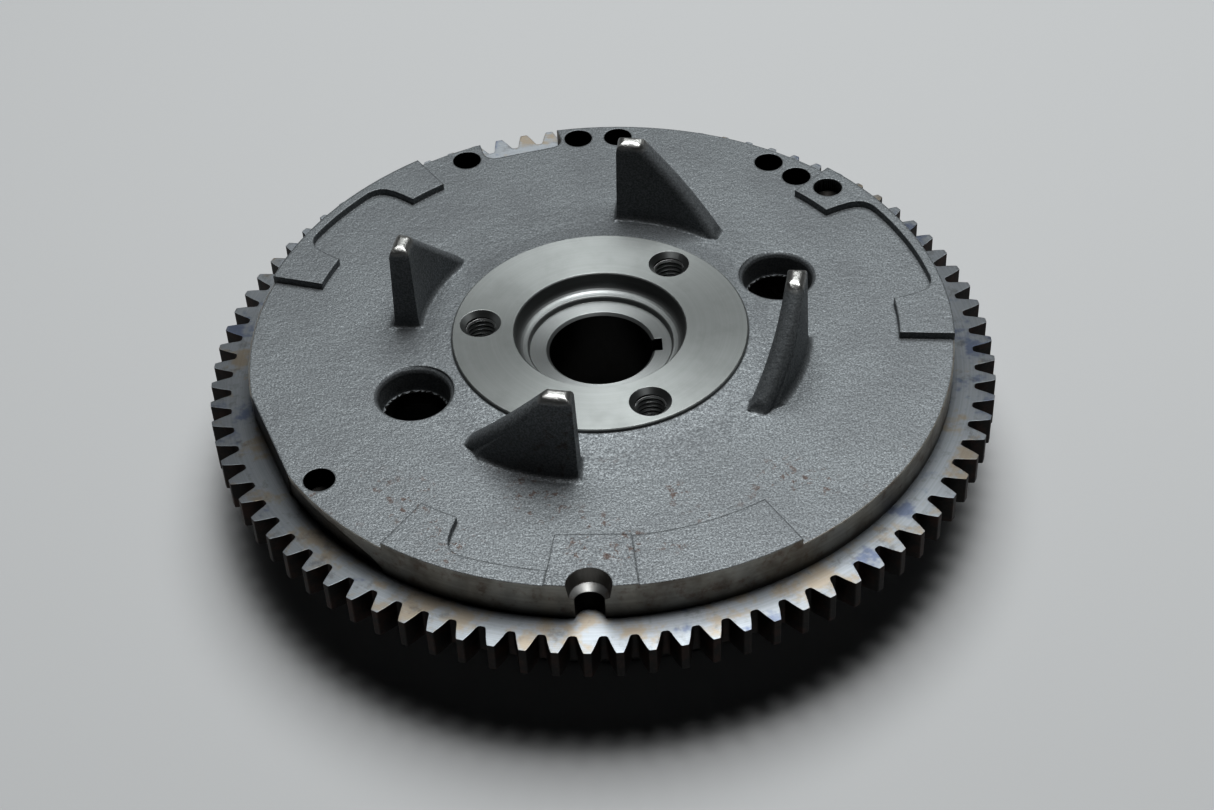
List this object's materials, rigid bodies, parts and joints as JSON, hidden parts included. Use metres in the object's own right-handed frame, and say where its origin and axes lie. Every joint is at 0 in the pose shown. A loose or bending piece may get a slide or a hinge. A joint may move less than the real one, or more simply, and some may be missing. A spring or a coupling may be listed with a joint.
{
  "type": "flywheel",
  "caption": "Round engine flywheel with a toothed starter ring, short curved fins, a machined hub face with a keyed tapered bore, and a ring of magnets in its skirt.",
  "frame": {"origin": "on the crank axis, in the plane of the cast face, inside the recess of the hub face", "axes": "+Z along the crank axis, out of the finned face; +X towards the keyway; +Y a quarter turn anticlockwise from +X seen from the finned face"},
  "size_m": [0.1842, 0.1842, 0.0594],
  "materials": {
    "cast_iron": "rough as-cast iron, machined on the rim, hub face and bore",
    "ring_steel": "hardened steel, ground on the faces, dark oxide between the teeth",
    "magnet": "dark grey ceramic magnet, matt",
    "spacer": "dark potting resin",
    "shell_steel": "thin stainless sheet",
    "spring_steel": "dark spring steel"
  },
  "bodies": {
    "root": {"casting": "cast_iron", "ring_gear": "ring_steel", "magnet_1": "magnet", "magnet_2": "magnet", "magnet_3": "magnet", "magnet_4": "magnet", "magnet_5": "magnet", "magnet_6": "magnet", "spacer_1": "spacer", "spacer_2": "spacer", "spacer_3": "spacer", "spacer_4": "spacer", "spacer_5": "spacer", "spacer_6": "spacer", "magnet_shell": "shell_steel", "retaining_ring": "spring_steel"}
  },
  "joints": []
}
